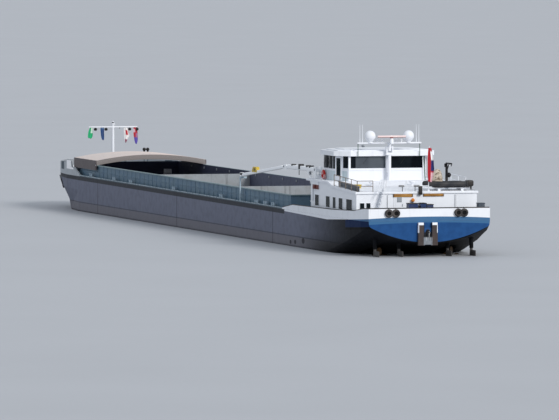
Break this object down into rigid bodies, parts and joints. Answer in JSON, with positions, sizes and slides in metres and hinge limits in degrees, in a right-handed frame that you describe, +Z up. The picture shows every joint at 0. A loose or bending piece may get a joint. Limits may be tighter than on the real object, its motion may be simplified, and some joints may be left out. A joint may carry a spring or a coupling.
{
  "type": "scale model of a river cargo barge",
  "caption": "1:10 scale model of a self-propelled river cargo barge: long flat hull, open hold with sliding arched covers, low deckhouse, wheelhouse, deck crane and folding masts.",
  "frame": {"origin": "middle of the box's underside, on the flat bottom, on the centreline halfway along the length", "axes": "+X towards the bow, +Y to port, +Z up"},
  "size_m": [11.025, 1.145, 1.155],
  "materials": {
    "hull_paint": "satin",
    "engine_paint": "satin",
    "bronze": "worn",
    "light_grey": "matt",
    "blue_grey": "satin",
    "cover_paint": "matt",
    "white_paint": "satin",
    "green_cloth": "matt",
    "blue_cloth": "matt",
    "white_cloth": "matt",
    "red_cloth": "matt",
    "dark_steel": "matt",
    "galvanised": "matt",
    "tyre_rubber": "matt",
    "blue_paint": "satin",
    "window_glass": "gloss",
    "dark_plastic": "matt",
    "white_plastic": "gloss",
    "dinghy_plastic": "matt",
    "plank_aluminium": "matt",
    "buoy_plastic": "satin",
    "bright_steel": "polished"
  },
  "bodies": {
    "vessel": {"hull": "hull_paint", "engine_port": "engine_paint", "engine_starboard": "engine_paint", "hold_coaming": "blue_grey", "hold_bulkhead_aft": "light_grey", "hold_bulkhead_fore": "light_grey", "side_deck_port": "blue_grey", "side_deck_starboard": "blue_grey", "stern_bulwark": "white_paint", "bow_bulwark": "white_paint", "foredeck_fittings": "white_paint", "anchor_windlass": "blue_grey", "bow_anchor_port": "dark_steel", "bow_anchor_starboard": "dark_steel", "stern_anchor": "galvanised", "tyres_port": "tyre_rubber", "tyres_starboard": "tyre_rubber", "stern_winch": "blue_paint", "deckhouse_walls": "white_paint", "deckhouse_roof": "white_paint", "wheelhouse_walls": "white_paint", "wheelhouse_glass_aft": "window_glass", "wheelhouse_glass_fore": "window_glass", "wheelhouse_roof": "white_paint", "helm": "dark_plastic", "railing_aft": "white_paint", "ensign": "red_cloth", "dinghy": "dinghy_plastic", "railing_port": "white_paint", "railing_starboard": "white_paint", "aft_ladder": "white_paint", "gangway_plank": "plank_aluminium", "lifebuoy": "buoy_plastic", "crane_pedestal": "white_paint"},
    "propeller_port": {"propeller_port": "bronze"},
    "propeller_starboard": {"propeller_starboard": "bronze"},
    "rudder_port_inner": {"rudder_port_inner": "light_grey"},
    "rudder_port_outer": {"rudder_port_outer": "light_grey"},
    "rudder_starboard_inner": {"rudder_starboard_inner": "light_grey"},
    "rudder_starboard_outer": {"rudder_starboard_outer": "light_grey"},
    "hatch_covers": {"hatch_cover_1": "cover_paint", "hatch_cover_2": "cover_paint", "hatch_cover_3": "cover_paint"},
    "foremast": {"foremast": "white_paint", "flag_green": "green_cloth", "flag_blue": "blue_cloth", "flag_white": "white_cloth", "flag_red": "red_cloth"},
    "aft_mast_head": {"aft_mast_head": "white_paint"},
    "radar_scanner": {"radar_scanner": "white_plastic"},
    "deckhouse_door_aft": {"deckhouse_door_aft": "white_paint"},
    "deckhouse_door_fore": {"deckhouse_door_fore": "white_paint"},
    "wheelhouse_door_starboard": {"wheelhouse_door_starboard": "white_paint"},
    "wheelhouse_door_port": {"wheelhouse_door_port": "white_paint"},
    "davit": {"davit": "dark_steel"},
    "crane_column": {"crane_column": "white_paint"},
    "crane_boom": {"crane_boom": "white_paint"},
    "crane_jib": {"crane_jib": "white_paint"},
    "crane_cylinder_barrel": {"crane_cylinder_barrel": "white_paint"},
    "crane_cylinder_rod": {"crane_cylinder_rod": "bright_steel"}
  },
  "joints": [
    {"name": "propeller_port_spin", "type": "hinge", "parent": "vessel", "child": "propeller_port", "pos_m": [-5.0975, 0.31, 0.095], "axis": [1, 0, 0], "continuous": true},
    {"name": "propeller_starboard_spin", "type": "hinge", "parent": "vessel", "child": "propeller_starboard", "pos_m": [-5.0975, -0.31, 0.095], "axis": [1, 0, 0], "continuous": true},
    {"name": "steering", "type": "hinge", "parent": "vessel", "child": "rudder_port_inner", "pos_m": [-5.3175, 0.21, 0.15], "axis": [0, 0, 1], "range_deg": [-45, 45]},
    {"name": "rudder_port_outer_turn", "type": "hinge", "parent": "vessel", "child": "rudder_port_outer", "pos_m": [-5.3175, 0.415, 0.15], "axis": [0, 0, 1], "range_deg": [-45, 45]},
    {"name": "rudder_starboard_inner_turn", "type": "hinge", "parent": "vessel", "child": "rudder_starboard_inner", "pos_m": [-5.3175, -0.21, 0.15], "axis": [0, 0, 1], "range_deg": [-45, 45]},
    {"name": "rudder_starboard_outer_turn", "type": "hinge", "parent": "vessel", "child": "rudder_starboard_outer", "pos_m": [-5.3175, -0.415, 0.15], "axis": [0, 0, 1], "range_deg": [-45, 45]},
    {"name": "hatch_cover_slide", "type": "slide", "parent": "vessel", "child": "hatch_covers", "axis": [-1, 0, 0], "range_m": [0, 6.5]},
    {"name": "foremast_fold", "type": "hinge", "parent": "vessel", "child": "foremast", "pos_m": [4.7925, 0, 0.495], "axis": [0, -1, 0], "range_deg": [0, 90]},
    {"name": "aft_mast_fold", "type": "hinge", "parent": "vessel", "child": "aft_mast_head", "pos_m": [-4.3375, -0.01, 0.96], "axis": [0, -1, 0], "range_deg": [0, 90]},
    {"name": "radar_spin", "type": "hinge", "parent": "aft_mast_head", "child": "radar_scanner", "pos_m": [-4.4025, -0.01, 1.045], "axis": [0, 0, 1], "continuous": true},
    {"name": "deckhouse_door_aft_swing", "type": "hinge", "parent": "vessel", "child": "deckhouse_door_aft", "pos_m": [-5.1395, 0.1867, 0.5125], "axis": [0, 0, -1], "range_deg": [0, 110]},
    {"name": "deckhouse_door_fore_swing", "type": "hinge", "parent": "vessel", "child": "deckhouse_door_fore", "pos_m": [-3.8155, -0.1857, 0.5175], "axis": [0, 0, -1], "range_deg": [0, 110]},
    {"name": "wheelhouse_door_starboard_swing", "type": "hinge", "parent": "vessel", "child": "wheelhouse_door_starboard", "pos_m": [-4.13099, -0.40165, 0.7825], "axis": [0, 0, 1], "range_deg": [0, 120]},
    {"name": "wheelhouse_door_port_swing", "type": "hinge", "parent": "vessel", "child": "wheelhouse_door_port", "pos_m": [-4.13099, 0.40165, 0.7825], "axis": [0, 0, -1], "range_deg": [0, 120]},
    {"name": "davit_slew", "type": "hinge", "parent": "vessel", "child": "davit", "pos_m": [-4.8475, -0.35, 0.7], "axis": [0, 0, 1], "range_deg": [-150, 150]},
    {"name": "crane_slew", "type": "hinge", "parent": "vessel", "child": "crane_column", "pos_m": [-3.5675, 0.385, 0.6], "axis": [0, 0, 1], "range_deg": [-60, 100]},
    {"name": "crane_luff", "type": "hinge", "parent": "crane_column", "child": "crane_boom", "pos_m": [-3.5675, 0.385, 0.75], "axis": [0.0812, -0.9967, 0], "range_deg": [0, 70]},
    {"name": "crane_knuckle", "type": "hinge", "parent": "crane_boom", "child": "crane_jib", "pos_m": [-2.81998, 0.44593, 0.75], "axis": [0.0812, -0.9967, 0], "range_deg": [0, 70]},
    {"name": "crane_cylinder_pivot", "type": "hinge", "parent": "crane_column", "child": "crane_cylinder_barrel", "pos_m": [-3.51966, 0.3889, 0.515], "axis": [0.0812, -0.9967, 0], "range_deg": [0, 45]},
    {"name": "crane_cylinder_stroke", "type": "slide", "parent": "crane_cylinder_barrel", "child": "crane_cylinder_rod", "axis": [0.577, 0.047, 0.8154], "range_m": [0, 0.17]}
  ],
  "couplings": [
    {"joint": "rudder_port_outer_turn", "follows": "steering", "ratio": 1},
    {"joint": "rudder_starboard_inner_turn", "follows": "steering", "ratio": 1},
    {"joint": "rudder_starboard_outer_turn", "follows": "steering", "ratio": 1},
    {"joint": "crane_cylinder_pivot", "follows": "crane_luff", "ratio": 0.40422},
    {"joint": "crane_cylinder_stroke", "follows": "crane_luff", "m_per_rad": 0.13045}
  ]
}
